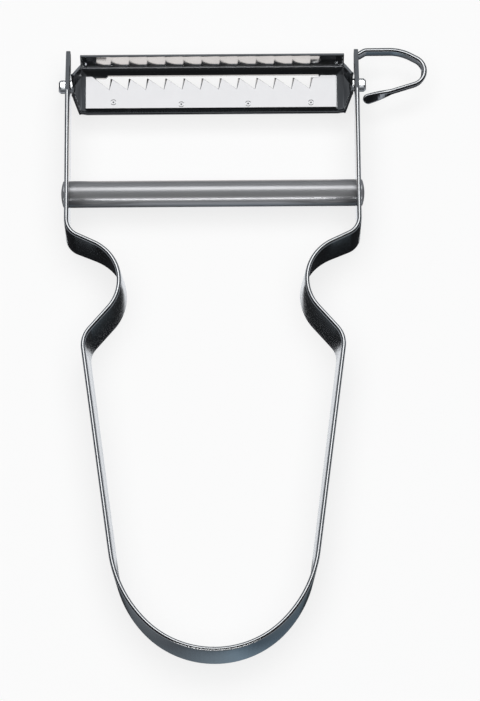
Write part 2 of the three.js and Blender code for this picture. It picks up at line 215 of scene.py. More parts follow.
def strip_section(bm, width, thickness, edge_radius):
    """A face across a strip that heads along +X, with its width up Z and its edges rounded."""
    corners = [(-1, 0), (1, 0), (1, 1), (-1, 1)]
    verts = [bm.verts.new((0, side * thickness / 2, up * width)) for side, up in corners]
    bm.faces.new(verts)
    bmesh.ops.bevel(bm, geom=verts, offset=edge_radius, segments=EDGE_STEPS, profile=0.5,
                    affect="VERTICES", material=-1)
    bm.faces.ensure_lookup_table()
    return bm.faces[0]


def finish_piece(name, bm, body, replaced):
    """Makes the bmesh an object with smooth shading up to an angle, riding on its body."""
    mesh = bpy.data.meshes.new(name)
    bm.to_mesh(mesh)
    bm.free()
    mesh.shade_smooth()
    mesh.set_sharp_from_angle(angle=SMOOTH_ANGLE)
    piece = bpy.data.objects.new(name, mesh)
    bpy.context.scene.collection.objects.link(piece)
    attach(piece, body)
    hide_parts(*replaced)
    print(name, "faces:", len(mesh.polygons))
    return piece


# %% [markdown]
# The bow
#
# The real handle is one strip, stamped and bent in a jig. Its lower edge is drawn in: hardly at the
# crown, most on the legs and not at all above the shoulders. A section that leans more or less on the
# way gives that. Half of the bow is pushed along the line and mirrored. Above the pivot the arms narrow
# to a rounded nose: there the end face is scaled before each push.

# %% How the strip leans
CROWN_LEAN, LEG_DRAW = 0.3 * MM, 0.95 * MM
CROWN_ZONE = (4 * MM, 26 * MM)


def share_of(value, low, high):
    """How far a value lies between two others, from 0 to 1."""
    return min(max((value - low) / (high - low), 0), 1)


def ease(value, low, high):
    """0 below low, 1 above high and a smooth rise between them."""
    share = share_of(value, low, high)
    return share * share * (3 - 2 * share)


def lean_at(y):
    """How far the lower edge is drawn in at a height along the handle."""
    lean = CROWN_LEAN + (LEG_DRAW - CROWN_LEAN) * ease(y, *CROWN_ZONE)
    return lean * (1 - ease(y, WAIST.y, SHOULDER_Y))


def shift_lower_edge(sweep, amount):
    """Draws the lower edge of the end face in by an amount, and the rest of its width in proportion."""
    for vert in sweep.verts():
        vert.co += sweep.left() * amount * (1 - vert.co.z / STRIP_WIDTH)


def follow_lean(sweep):
    wanted = lean_at(sweep.place.y)
    shift_lower_edge(sweep, wanted - sweep.lean)
    sweep.lean = wanted


print("lower edge drawn in, mm:", [round(lean_at(y * MM) / MM, 2) for y in (0, 15, 40, 84, 100)])

# %% Bow
EDGE_RADIUS = 0.43 * MM
NOSE_RADIUS = 2 * MM
NOSE_STEPS = 16
NOSE_END = math.radians(87)
TIP_ROUNDING = 0.75
TIP_Y = bow_high.y
MERGE_DISTANCE = 0.001 * MM


def narrow_to(sweep, half_width):
    """Scales the end face's width about the pivot's height."""
    share = half_width / sweep.half_width
    about = Matrix.Translation((0, 0, -AXIS_Z))
    bmesh.ops.scale(sweep.bm, verts=sweep.verts(), vec=(1, 1, share), space=about)
    sweep.half_width = half_width


def thin_to(sweep, share):
    """Scales the end face's thickness to a share of the whole, about the middle of the arm."""
    about = Matrix.Translation((-ARM_X, 0, 0))
    bmesh.ops.scale(sweep.bm, verts=sweep.verts(), vec=(share / sweep.share, 1, 1), space=about)
    sweep.share = share


def bow_half():
    bm = bmesh.new()
    cap = strip_section(bm, STRIP_WIDTH, STRIP_THICKNESS, EDGE_RADIUS)
    start = Vector((0, -EDGE_LEAN, 0))
    bmesh.ops.translate(bm, verts=bm.verts, vec=start)
    sweep = Sweep(bm, cap, start, 0.0)
    sweep.lean = 0
    sweep.half_width = STRIP_WIDTH / 2
    sweep.share = 1
    follow_lean(sweep)
    sweep.follow(bow_moves, follow_lean)
    nose_y = TIP_Y - NOSE_RADIUS
    slope = math.atan2(AXIS_Z - NOSE_RADIUS, nose_y - TAPER_Y)
    for step in range(NOSE_STEPS):
        angle = slope + (NOSE_END - slope) * step / (NOSE_STEPS - 1)
        sweep.straight(nose_y + NOSE_RADIUS * math.sin(angle) - sweep.place.y)
        narrow_to(sweep, NOSE_RADIUS * math.cos(angle))
        past = max(sweep.place.y - (TIP_Y - EDGE_RADIUS), 0) / EDGE_RADIUS
        thin_to(sweep, 1 - TIP_ROUNDING * (1 - math.sqrt(1 - min(past, 1) ** 2)))
    bmesh.ops.delete(bm, geom=[cap], context="FACES_ONLY")
    return bm


def mirror_half(bm):
    """Adds the other half across X = 0, joined at the middle."""
    whole = bm.verts[:] + bm.edges[:] + bm.faces[:]
    bmesh.ops.mirror(bm, geom=whole, axis="X", merge_dist=MERGE_DISTANCE)
    bmesh.ops.recalc_face_normals(bm, faces=bm.faces)


bow = bow_half()
mirror_half(bow)
handle = finish_piece("bent_handle", bow, "handle", ["handle_bow"])

# %% [markdown]
# Crossbar and rivets
#
# The bar is a short tube, turned to length and held by a rivet at each end. A circle extruded into a
# cylinder with bevelled end edges is all that it takes, because the arms close its ends. A rivet's
# head has a low rim and a flat dome, so its profile is drawn once and spun about the bar's axis.

# %% Crossbar
BAR_RADIUS = (bar_high.z - bar_low.z) / 2
BAR_SIDES = 96
BAR_EDGE = 0.1 * MM
EDGE_ROUND_STEPS = 3
NEAR = 0.01 * MM  # closer than this counts as the same place


def verts_in(items):
    return [item for item in items if isinstance(item, bmesh.types.BMVert)]


def round_edges(bm, edges, width, steps):
    """Bevels edges to a round of a few steps."""
    bmesh.ops.bevel(bm, geom=edges, offset=width, segments=steps, profile=0.5, affect="EDGES",
                    material=-1)


def span_x(edge):
    """How far an edge reaches along X."""
    return abs(edge.verts[0].co.x - edge.verts[1].co.x)


def crossbar_mesh():
    bm = bmesh.new()
    bmesh.ops.create_circle(bm, cap_ends=True, segments=BAR_SIDES, radius=BAR_RADIUS)
    face = bm.faces[:]
    bmesh.ops.rotate(bm, verts=bm.verts, matrix=Matrix.Rotation(math.pi / 2, 3, "Y"))
    far = verts_in(bmesh.ops.extrude_face_region(bm, geom=face)["geom"])
    bmesh.ops.translate(bm, verts=far, vec=(bar_high.x - bar_low.x, 0, 0))
    rims = [edge for edge in bm.edges if span_x(edge) < NEAR]
    round_edges(bm, rims, BAR_EDGE, EDGE_ROUND_STEPS)
    bmesh.ops.translate(bm, verts=bm.verts, vec=(bar_low.x, BAR_Y, AXIS_Z))
    bmesh.ops.recalc_face_normals(bm, faces=bm.faces)
    return bm


crossbar = finish_piece("crossbar_tube", crossbar_mesh(), "handle", ["crossbar"])

# %% Rivets
rivet_low, rivet_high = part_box("right_rivet")
DOME_RADIUS = (rivet_high.z - rivet_low.z) / 2
ARM_OUTER = ARM_X + STRIP_THICKNESS / 2
DOME_HEIGHT = rivet_high.x - ARM_OUTER
DOME_STEPS = 10
HEAD_SIDES = 48
RIM_HEIGHT = 0.34 * MM
RIM_ROUNDING = 0.1 * MM


def rivet_mesh(side):
    """A rivet's head on the right arm (side 1) or the left one (side -1)."""
    bm = bmesh.new()
    rise = DOME_HEIGHT - RIM_HEIGHT
    ball = (DOME_RADIUS ** 2 + rise ** 2) / (2 * rise)
    reach = math.asin(DOME_RADIUS / ball)
    last = bm.verts.new((ARM_OUTER + DOME_HEIGHT, 0, 0))
    spun = bmesh.ops.spin(bm, geom=[last], cent=(ARM_OUTER + DOME_HEIGHT - ball, 0, 0), axis=(0, 1, 0),
                          angle=-reach, steps=DOME_STEPS)
    rim = verts_in(spun["geom_last"])[0]
    foot = bmesh.ops.extrude_vert_indiv(bm, verts=[rim])["verts"][0]
    foot.co.x = ARM_OUTER
    inside = bmesh.ops.extrude_vert_indiv(bm, verts=[foot])["verts"][0]
    inside.co = (ARM_OUTER, 0, 0)
    bmesh.ops.spin(bm, geom=bm.verts[:] + bm.edges[:], axis=(1, 0, 0), angle=math.tau,
                   steps=HEAD_SIDES, use_merge=True)
    bmesh.ops.remove_doubles(bm, verts=bm.verts, dist=MERGE_DISTANCE)
    shoulder = [edge for edge in bm.edges
                if all(abs(vert.co.x - ARM_OUTER - RIM_HEIGHT) < NEAR for vert in edge.verts)]
    round_edges(bm, shoulder, RIM_ROUNDING, EDGE_ROUND_STEPS)
    if side < 0:
        bmesh.ops.rotate(bm, verts=bm.verts, matrix=Matrix.Rotation(math.pi, 3, "Z"))
    bmesh.ops.translate(bm, verts=bm.verts, vec=(0, BAR_Y, AXIS_Z))
    bmesh.ops.recalc_face_normals(bm, faces=bm.faces)
    return bm


rivets = [
    finish_piece("left_rivet_head", rivet_mesh(-1), "handle", ["left_rivet"]),
    finish_piece("right_rivet_head", rivet_mesh(1), "handle", ["right_rivet"]),
]

# %% [markdown]
# Windows in the arms
#
# The blade's V-shaped tabs turn in a window in each arm. The window is what the V sweeps when it
# swings, so it has two wide wings and a narrow middle. Its outline is a row of arcs about the pivot,
# and one long tool of that shape cuts both arms at once with a Boolean. Knife cuts would do as well,
# but the helpers that cut here serve the blade's slot and the weld marks too.

# %% Cutting tools
WINDOW_ARCS = [
    # radius in mm, first and last angle in degrees, from +Y towards +Z
    (1.52, -15, 45),
    (1.32, 45, 81),
    (0.14, 105, 105),
    (1.48, 129, 150),
    (1.72, 150, 221),
    (0.98, 247, 307),
]
ARC_STEP = 6  # degrees


def settle(piece):
    """Applies a piece's modifiers to its mesh."""
    graph = bpy.context.evaluated_depsgraph_get()
    shaped = piece.evaluated_get(graph)
    mesh = bpy.data.meshes.new_from_object(shaped, preserve_all_data_layers=True, depsgraph=graph)
    piece.modifiers.clear()
    piece.data = mesh


def cut_away(piece, tool_bm):
    """Cuts a tool's shape out of a piece and throws the tool away."""
    bmesh.ops.recalc_face_normals(tool_bm, faces=tool_bm.faces)
    tool_mesh = bpy.data.meshes.new("tool")
    tool_bm.to_mesh(tool_mesh)
    tool_bm.free()
    tool = bpy.data.objects.new("tool", tool_mesh)
    bpy.context.scene.collection.objects.link(tool)
    cut = piece.modifiers.new("cut", "BOOLEAN")
    cut.operation = "DIFFERENCE"
    cut.solver = "EXACT"
    cut.object = tool
    settle(piece)
    bpy.data.objects.remove(tool)


def extrude_outline(bm, step):
    """Fills the closed chain of edges in a bmesh and extrudes the face by a step."""
    face = bmesh.ops.contextual_create(bm, geom=bm.edges[:])["faces"]
    moved = verts_in(bmesh.ops.extrude_face_region(bm, geom=face)["geom"])
    bmesh.ops.translate(bm, verts=moved, vec=step)


print("arcs round a window:", len(WINDOW_ARCS))


# %% Cut the windows
def window_tool():
    """A long bar with the window's outline, across both arms."""
    bm = bmesh.new()
    half = bow_high.x + STRIP_THICKNESS
    corners = []
    for radius, first, last in WINDOW_ARCS:
        steps = max(math.ceil((last - first) / ARC_STEP), 1)
        for step in range(steps + 1 if last > first else 1):
            angle = math.radians(first + (last - first) * step / steps)
            y, z = radius * MM * math.cos(angle), radius * MM * math.sin(angle)
            corners.append((-half, PIVOT.y + y, AXIS_Z + z))
    verts = [bm.verts.new(corner) for corner in corners]
    for a, b in zip(verts, verts[1:] + verts[:1]):
        bm.edges.new((a, b))
    extrude_outline(bm, (2 * half, 0, 0))
    return bm


cut_away(handle, window_tool())
print("bow with windows, faces:", len(handle.data.polygons))

# %% [markdown]
# The blade trough
#
# The blade is pressed from thin sheet: a concave wall, a flat floor and a small lip, drawn in at each
# end to an ear and a V-shaped tab that turns in the arm. The wall mirrors the teeth, so its curve
# matters: four arcs that open out upwards. The section is traced as a chain of edges, by spinning a
# point round each bend, and the chain is then extruded along the blade. A curve with a bevel object
# would give the trough, but not its ends: there each point slides from the trough's section to the
# ear's. A Solidify modifier then gives the sheet its thickness.

# %% Tracing a bent sheet
BLADE_THICKNESS = 0.6 * MM


def spin_point(bm, vert, centre, angle, steps):
    """Spins a point about an X axis and returns the new points of the chain that it leaves."""
    known = set(bm.verts)
    bmesh.ops.spin(bm, geom=[vert], cent=centre, axis=(1, 0, 0), angle=angle, steps=steps)
    fresh = [v for v in bm.verts if v not in known]
    return sorted(fresh, key=lambda v: (v.co - vert.co).length)


def push_point(bm, vert, step):
    """Extrudes a point by a step and returns the new point."""
    new = bmesh.ops.extrude_vert_indiv(bm, verts=[vert])["verts"][0]
    new.co += step
    return new


def arc_up(bm, vert, slope, end_slope, radius, steps):
    """Carries the wall on round an arc, from one slope to another; the radius is the inside's."""
    inward = Vector((0, -math.sin(slope), math.cos(slope)))
    centre = vert.co + (radius + BLADE_THICKNESS / 2) * inward
    return spin_point(bm, vert, centre, end_slope - slope, steps)


print("sheet thickness, mm:", round(BLADE_THICKNESS / MM, 2))

# %% Section of the trough
FLOOR_TOP = AXIS_Z - 1.1 * MM
FLOOR_MIDDLE = FLOOR_TOP - BLADE_THICKNESS / 2
VALLEY_Y = PIVOT.y + 2.65 * MM
CREASE_ANGLE = math.radians(15)
WALL_BEND_ANGLE = math.radians(62.6)
WALL_LOWER_RADIUS = 2.8 * MM
WALL_UPPER_ARCS = [
    # slope at the arc's upper end, and its radius
    (math.radians(77.6), 4.66 * MM),
    (math.radians(83.7), 9 * MM),
    (math.radians(88.9), 15 * MM),
]
FLOOR_REACH = 4.93 * MM
LIP_RADIUS = 0.62 * MM + BLADE_THICKNESS / 2
LIP_ANGLE = math.radians(60)
LIP_LENGTH = 0.57 * MM
LOWER_STEPS, UPPER_STEPS, LIP_STEPS = 18, 6, 8
LIP_PLACE = -0.5  # the place on the ear where the lip begins


def trough_chain(bm):
    """The trough's section at X = 0 as a chain of edges.

    Each point keeps its place on the ear: 1 at the wall's bend, 0 at the fold, -1 at the lip's edge.
    Above the bend, where the sheet stops short of the ear, the places go on past 1.
    """
    place = bm.verts.layers.float.new("place")
    crease = bm.verts.new((0, VALLEY_Y, FLOOR_MIDDLE))
    lower = arc_up(bm, crease, CREASE_ANGLE, WALL_BEND_ANGLE, WALL_LOWER_RADIUS, LOWER_STEPS)
    upper = [lower[-1]]
    slope = WALL_BEND_ANGLE
    for end_slope, radius in WALL_UPPER_ARCS:
        upper += arc_up(bm, upper[-1], slope, end_slope, radius, UPPER_STEPS)
        slope = end_slope
    floor_end = push_point(bm, crease, Vector((0, PIVOT.y - FLOOR_REACH - VALLEY_Y, 0)))
    lip_centre = floor_end.co + Vector((0, 0, LIP_RADIUS))
    lip = spin_point(bm, floor_end, lip_centre, -LIP_ANGLE, LIP_STEPS)
    rise = Vector((0, -math.cos(LIP_ANGLE), math.sin(LIP_ANGLE)))
    lip.append(push_point(bm, lip[-1], rise * LIP_LENGTH))
    for step, vert in enumerate(lower, 1):
        vert[place] = step / len(lower)
    for step, vert in enumerate(upper):
        vert[place] = 1 + step / (len(upper) - 1)
    for step, vert in enumerate([floor_end] + lip):
        vert[place] = LIP_PLACE - (1 + LIP_PLACE) * step / len(lip)
    return place


print("wall slopes, degrees:", [round(math.degrees(slope), 1) for slope, _ in WALL_UPPER_ARCS])

# %% Ears and tabs
TROUGH_HALF = 27.3 * MM
RISE_START = 25.8 * MM
RISE_BLEND = 0.8  # the place on the wall from which the floor's early rise is gone
EAR_END = 28.9 * MM
EAR_WALL_WING, EAR_FLOOR_WING = 2.8 * MM, 1.9 * MM
FOLD_DROP = 0.45 * MM
FOLD_WALL_SLOPE = math.radians(45)
FOLD_FLOOR_SLOPE = math.radians(180 - 20)


def fold_point(place, wall_wing, floor_wing):
    """Where a place lies on a V about the pivot, as (Y, Z) from the pivot."""
    out = place * wall_wing if place > 0 else -place * floor_wing
    slope = FOLD_WALL_SLOPE if place > 0 else FOLD_FLOOR_SLOPE
    return Vector((out * math.cos(slope), out * math.sin(slope) - FOLD_DROP))


def drawn_point(place, start, end, x):
    """Where a point of the section lies at X: the floor rises first, then all of it draws in."""
    floor_side = 1 - share_of(place, 0, RISE_BLEND)
    rise_start = TROUGH_HALF - (TROUGH_HALF - RISE_START) * floor_side
    rise = share_of(x, rise_start, EAR_END)
    draw = share_of(x, TROUGH_HALF, EAR_END)
    return Vector((start.x + (end.x - start.x) * draw, start.y + (end.y - start.y) * rise))


def even_steps(low, high, steps):
    """The ends of even steps from low to high, without low itself."""
    return [low + (high - low) * step / steps for step in range(1, steps + 1)]


print("ear, mm long:", round((EAR_END - TROUGH_HALF) / MM, 2))

# %% Extrude the trough to its ears and tabs
blade_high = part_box("peeling_blade")[1]
RISE_STEPS = 6
DRAW_STEPS = 8
EAR_SHOULDER = 0.2 * MM
TAB_WING = 1.48 * MM
TAB_END = blade_high.x - 0.12 * MM
TAB_NOSE = 0.4 * MM
TAB_NOSE_SHARE = 0.7


def end_rows(trough):
    """Rows along the blade from its middle to its right end: X, and each place's (Y, Z) there."""
    pivot = Vector((PIVOT.y, AXIS_Z))
    ear = {key: pivot + fold_point(key, EAR_WALL_WING, EAR_FLOOR_WING) for key in trough}
    tab = {key: pivot + fold_point(key, TAB_WING, TAB_WING) for key in trough}
    nose = {key: pivot + TAB_NOSE_SHARE * (point - pivot) for key, point in tab.items()}
    rises = [RISE_START] + even_steps(RISE_START, TROUGH_HALF, RISE_STEPS)
    rows = []
    for x in rises + even_steps(TROUGH_HALF, EAR_END, DRAW_STEPS):
        rows.append((x, {
            key: point if key > 1 else drawn_point(key, point, ear[key], x)
            for key, point in trough.items()
        }))
    return rows + [(EAR_END + EAR_SHOULDER, tab), (TAB_END - TAB_NOSE, tab), (TAB_END, nose)]


def blade_sheet():
    bm = bmesh.new()
    place = trough_chain(bm)
    trough = {round(v[place], 4): Vector((v.co.y, v.co.z)) for v in bm.verts}
    edges = bm.edges[:]
    for x, line in end_rows(trough):
        if x > TROUGH_HALF:
            edges = [edge for edge in edges if all(round(v[place], 4) <= 1 for v in edge.verts)]
        grown = bmesh.ops.extrude_edge_only(bm, edges=edges)["geom"]
        edges = [item for item in grown if isinstance(item, bmesh.types.BMEdge)]
        for vert in verts_in(grown):
            point = line[round(vert[place], 4)]
            vert.co = (x, point.x, point.y)
    mirror_half(bm)
    return bm


blade = finish_piece("blade_trough", blade_sheet(), "blade_head", ["peeling_blade"])
sheet = blade.modifiers.new("sheet", "SOLIDIFY")
sheet.thickness = BLADE_THICKNESS
sheet.offset = 0
sheet.use_even_offset = True
settle(blade)

# %% [markdown]
# Rim, lip and slot
#
# The wall's upper edge cuts, so it is ground thin from behind. The lip's edge is rounded, so that it
# doesn't scratch. Under the teeth the floor is open, and the strips fall through. Moving the rim's
# back points, bevelling the lip's two long edges and one Boolean cut make these three, much as a
# grinder, a press and a punch would. A small Bevel modifier then eases what is still sharp.

# %% Round the lip and grind the rim
LIP_ROUNDING = 0.27 * MM
LIP_ROUND_STEPS = 5
LIP_CORNER = math.radians(60)
RIM_GROUND_AWAY = 0.7  # share of the thickness
RIM_PLACE = 2


def grind_rim(bm):
    """Thins the wall's upper edge from behind, as a grinder would."""
    place = bm.verts.layers.float["place"]
    ends = [
        edge for edge in bm.edges
        if all(round(v[place], 4) == RIM_PLACE for v in edge.verts)
        and span_x(edge) < NEAR and edge.calc_length() > BLADE_THICKNESS / 2
    ]
    for edge in ends:
        front, behind = sorted(edge.verts, key=lambda v: v.co.y)
        behind.co += (front.co - behind.co) * RIM_GROUND_AWAY
    print("rim edges ground:", len(ends))


def round_lip(bm):
    """Rounds the two long edges at the end of the lip."""
    lip_side = PIVOT.y - FLOOR_REACH - LIP_RADIUS * math.sin(LIP_ANGLE)
    edges = [
        edge for edge in bm.edges
        if all(v.co.y < lip_side and abs(v.co.x) < TROUGH_HALF + NEAR for v in edge.verts)
        and span_x(edge) > NEAR and edge.calc_face_angle(0) > LIP_CORNER
    ]
    round_edges(bm, edges, LIP_ROUNDING, LIP_ROUND_STEPS)
    print("lip edges rounded:", len(edges))


pressing = bmesh.new()
pressing.from_mesh(blade.data)
grind_rim(pressing)
round_lip(pressing)
pressing.to_mesh(blade.data)
pressing.free()

# %% Slot under the teeth
comb_low, comb_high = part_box("julienne_comb")
SLOT_LEFT = comb_low.x + 2.15 * MM
SLOT_RIGHT = comb_high.x - 3.2 * MM
SLOT_TOP = VALLEY_Y + 0.2 * MM
TOOTH_TIP_Y = comb_high.y - 0.35 * MM
TOOTH_ROOT_Y = TOOTH_TIP_Y - 2.65 * MM
SLOT_LOW = TOOTH_ROOT_Y - 0.3 * MM
SLOT_STEP = 1.95 * MM
SLOT_CHAMFER = 0.5 * MM
EASED_EDGE, EASED_STEPS, EASED_CORNER = 0.1 * MM, 2, math.radians(50)
BLADE_SMOOTH_ANGLE = math.radians(40)


def slot_tool():
    """A block with the slot's outline: a step at its upper left and two cut corners."""
    bm = bmesh.new()
    vert = bm.verts.new((SLOT_LEFT, SLOT_LOW, 0))
    first = vert
    width = SLOT_RIGHT - SLOT_LEFT
    height = SLOT_TOP - SLOT_LOW
    for x, y in [
        (width, 0),
        (0, height - SLOT_CHAMFER),
        (-SLOT_CHAMFER, SLOT_CHAMFER),
        (SLOT_STEP + 2 * SLOT_CHAMFER - width, 0),
        (-SLOT_CHAMFER, -SLOT_CHAMFER),
        (-SLOT_STEP, 0),
    ]:
        vert = push_point(bm, vert, Vector((x, y, 0)))
    bm.edges.new((vert, first))
    extrude_outline(bm, (0, 0, STRIP_WIDTH))
    return bm


cut_away(blade, slot_tool())
eased = blade.modifiers.new("eased edges", "BEVEL")
eased.width = EASED_EDGE
eased.segments = EASED_STEPS
eased.limit_method = "ANGLE"
eased.angle_limit = EASED_CORNER
settle(blade)
blade.data.shade_smooth()
blade.data.set_sharp_from_angle(angle=BLADE_SMOOTH_ANGLE)
print("blade faces:", len(blade.data.polygons))

# %% [markdown]
# The comb
#
# The comb is a stamped plate with a row of raked teeth, spot-welded to the trough's floor. One tooth
# is drawn as a triangle and repeated along the pitch, the plate and its two lands are joined to the
# row, and the whole outline is extruded to the plate's thickness. An Array modifier could repeat the
# tooth, but one outline leaves no seams. The tips are pushed aside on top, as they are ground aslant,
# and the upper edges get a fine bevel that catches the light.

# %% Comb plate
TOOTH_PITCH = 3.775 * MM
TOOTH_RAKE = 0.27 * MM
FIRST_TIP_X = comb_low.x + 5.15 * MM
LEFT_LAND = 1.35 * MM
TOOTH_COUNT = 12
TIP_DROP = 0.35 * MM
TIP_SLANT = (0.35 * MM, -0.265 * MM, 0)
COMB_BEVEL = 0.06 * MM
COMB_THICKNESS = comb_high.z - comb_low.z


def outline_face(bm, corners):
    """A face from a few corners in (X, Y) on the trough's floor."""
    return bm.faces.new([bm.verts.new((x, y, comb_low.z)) for x, y in corners])


def comb_outline(bm):
    """The comb as one flat face: a row of teeth, a land at each end and the plate below them."""
    first_root = FIRST_TIP_X - TOOTH_RAKE
    tooth = outline_face(bm, [(first_root, TOOTH_ROOT_Y), (first_root + TOOTH_PITCH, TOOTH_ROOT_Y),
                              (FIRST_TIP_X, TOOTH_TIP_Y)])
    for number in range(1, TOOTH_COUNT - 1):
        copy = bmesh.ops.duplicate(bm, geom=[tooth])["geom"]
        bmesh.ops.translate(bm, verts=verts_in(copy), vec=(number * TOOTH_PITCH, 0, 0))
    last_tip = FIRST_TIP_X + (TOOTH_COUNT - 1) * TOOTH_PITCH
    last_root = last_tip - TOOTH_RAKE
    outline_face(bm, [(comb_low.x, TOOTH_ROOT_Y), (first_root, TOOTH_ROOT_Y),
                      (comb_low.x + LEFT_LAND, comb_high.y), (comb_low.x, comb_high.y)])
    outline_face(bm, [(last_root, TOOTH_ROOT_Y), (comb_high.x, TOOTH_ROOT_Y),
                      (comb_high.x, comb_high.y), (SLOT_RIGHT, comb_high.y),
                      (SLOT_RIGHT - TIP_DROP, TOOTH_TIP_Y), (last_tip, TOOTH_TIP_Y)])
    roots = [(first_root + number * TOOTH_PITCH, TOOTH_ROOT_Y) for number in range(TOOTH_COUNT)]
    outline_face(bm, [(comb_low.x, comb_low.y), (comb_high.x, comb_low.y), (comb_high.x, TOOTH_ROOT_Y)]
                 + roots[::-1] + [(comb_low.x, TOOTH_ROOT_Y)])
    bmesh.ops.remove_doubles(bm, verts=bm.verts, dist=MERGE_DISTANCE)
    return bmesh.ops.dissolve_faces(bm, faces=bm.faces[:], use_verts=False)["region"]


def comb_mesh():
    bm = bmesh.new()
    plate = comb_outline(bm)
    top = verts_in(bmesh.ops.extrude_face_region(bm, geom=plate)["geom"])
    bmesh.ops.translate(bm, verts=top, vec=(0, 0, COMB_THICKNESS))
    last_tooth = SLOT_RIGHT - 2 * TIP_DROP
    tips = [vert for vert in top if abs(vert.co.y - TOOTH_TIP_Y) < NEAR and vert.co.x < last_tooth]
    bmesh.ops.translate(bm, verts=tips, vec=TIP_SLANT)
    rim = [edge for edge in bm.edges if all(vert in top for vert in edge.verts)]
    round_edges(bm, rim, COMB_BEVEL, 1)
    bmesh.ops.recalc_face_normals(bm, faces=bm.faces)
    return bm


comb = finish_piece("toothed_comb", comb_mesh(), "blade_head", ["julienne_comb"])

# %% [markdown]
# Weld marks
#
# Each spot weld left a shallow ring and a pit in its middle, where the electrode pressed. They are a
# tenth of a millimetre deep or less, and a bump could draw them, but then the exported mesh would be
# bare there. So a ring of V-shaped section and a small cone are cut away.

# %% Weld marks
WELDS = [
    # place in mm, from the middle of the blade and from the comb's lower edge
    (-20.5, 1.4), (-6.45, 0.85), (7.4, 0.9), (20.4, 1.05),
]
WELD_RADIUS = 0.56 * MM
WELD_GROOVE = 0.12 * MM
WELD_DEPTH = 0.06 * MM
RING_SIDES, PIT_SIDES = 28, 12
PIT_BOTTOM, PIT_TOP = 0.1 * WELD_GROOVE, 3 * WELD_GROOVE


def weld_tool():
    """A ring with a V-shaped section and a cone in its middle, for each weld."""
    bm = bmesh.new()
    groove = [(0, -WELD_DEPTH), (WELD_GROOVE, WELD_DEPTH), (-WELD_GROOVE, WELD_DEPTH)]
    for across, up in WELDS:
        x, y = across * MM, comb_low.y + up * MM
        section = [bm.verts.new((x + WELD_RADIUS + out, y, comb_high.z + rise)) for out, rise in groove]
        sides = [bm.edges.new((a, b)) for a, b in zip(section, section[1:] + section[:1])]
        bmesh.ops.spin(bm, geom=section + sides, cent=(x, y, 0), axis=(0, 0, 1), angle=math.tau,
                       steps=RING_SIDES, use_merge=True)
        bmesh.ops.create_cone(bm, cap_ends=True, segments=PIT_SIDES, radius1=PIT_BOTTOM,
                              radius2=PIT_TOP, depth=2 * WELD_DEPTH,
                              matrix=Matrix.Translation((x, y, comb_high.z)))
    return bm


cut_away(comb, weld_tool())
comb.data.shade_flat()
print("comb with weld marks, faces:", len(comb.data.polygons))

# %% [markdown]
# The eye loop
#
# The loop is a narrow strip bent round beside the right arm. A bevelled curve could draw it, but its
# twist would be hard to place. So an end face is pushed along the loop's own line, as for the bow: it
# leans a little all the way, and near the free end it twists and closes to a rounded tongue.

# %% Line of the loop
LOOP_WIDTH = 2.1 * MM
LOOP_THICKNESS = 0.9 * MM
LOOP_EDGE = 0.38 * MM
LOOP_ROOT = Vector((ARM_OUTER, TIP_Y - 1.4 * MM))
LOOP_LEAN = math.radians(11)
TONGUE_TWIST = math.radians(62)
TWIST_LENGTH = 5 * MM
TWIST_STEPS = 10
TONGUE_STEPS = 10
TONGUE_END = math.radians(86)
ROOT_BEND = 0.3 * MM
loop_corners = [
    # each corner and the radius of the bend there
    (LOOP_ROOT, 0),
    (LOOP_ROOT + Vector((1.2, 0.8)) * MM, 1.5 * MM),
    (LOOP_ROOT + Vector((8.6, 0.85)) * MM, 9 * MM),
    (LOOP_ROOT + Vector((17.97, -4.5)) * MM, 3.1 * MM),
    (LOOP_ROOT + Vector((0.75, -10.1)) * MM, 0),
]
loop_moves = bends_and_straights(loop_corners)
print("loop moves:", [(kind, *[round(v, 4) for v in values]) for kind, *values in loop_moves])


# %% Loop
def twist_cap(sweep, angle):
    """Turns the end face about the line that it follows."""
    spin = Matrix.Rotation(angle, 3, sweep.ahead())
    bmesh.ops.rotate(sweep.bm, verts=sweep.verts(), cent=sweep.place, matrix=spin)
    sweep.twist += angle


def squeeze_cap(sweep, share):
    """Scales the end face's width to a share of the whole, in its own twisted frame."""
    rise = Matrix.Rotation(sweep.twist, 3, sweep.ahead()) @ Vector((0, 0, 1))
    for vert in sweep.verts():
        off = (vert.co - sweep.place).dot(rise)
        vert.co += rise * off * (share / sweep.share - 1)
    sweep.share = share


def loop_mesh():
    bm = bmesh.new()
    cap = strip_section(bm, LOOP_WIDTH, LOOP_THICKNESS, LOOP_EDGE)
    start = Vector((LOOP_ROOT.x, LOOP_ROOT.y, AXIS_Z))
    bmesh.ops.translate(bm, verts=bm.verts, vec=start - Vector((0, 0, LOOP_WIDTH / 2)))
    sweep = Sweep(bm, cap, start, 0.0)
    sweep.twist, sweep.share = 0.0, 1.0
    twist_cap(sweep, -LOOP_LEAN)
    first = loop_corners[1][0] - loop_corners[0][0]
    sweep.turn(ROOT_BEND, math.atan2(first.y, first.x))
    sweep.follow(loop_moves[:-1])
    tail = loop_moves[-1][1]
    round_end = LOOP_WIDTH / 2
    sweep.straight(tail - TWIST_LENGTH - round_end)
    for _ in range(TWIST_STEPS):
        sweep.straight(TWIST_LENGTH / TWIST_STEPS)
        twist_cap(sweep, (LOOP_LEAN + TONGUE_TWIST) / TWIST_STEPS)
    gone = 0
    for step in range(1, TONGUE_STEPS + 1):
        angle = TONGUE_END * step / TONGUE_STEPS
        sweep.straight(round_end * math.sin(angle) - gone)
        gone = round_end * math.sin(angle)
        squeeze_cap(sweep, math.cos(angle))
    bmesh.ops.recalc_face_normals(bm, faces=bm.faces)
    return bm


loop = finish_piece("eye_loop_strip", loop_mesh(), "handle", ["eyer_loop"])

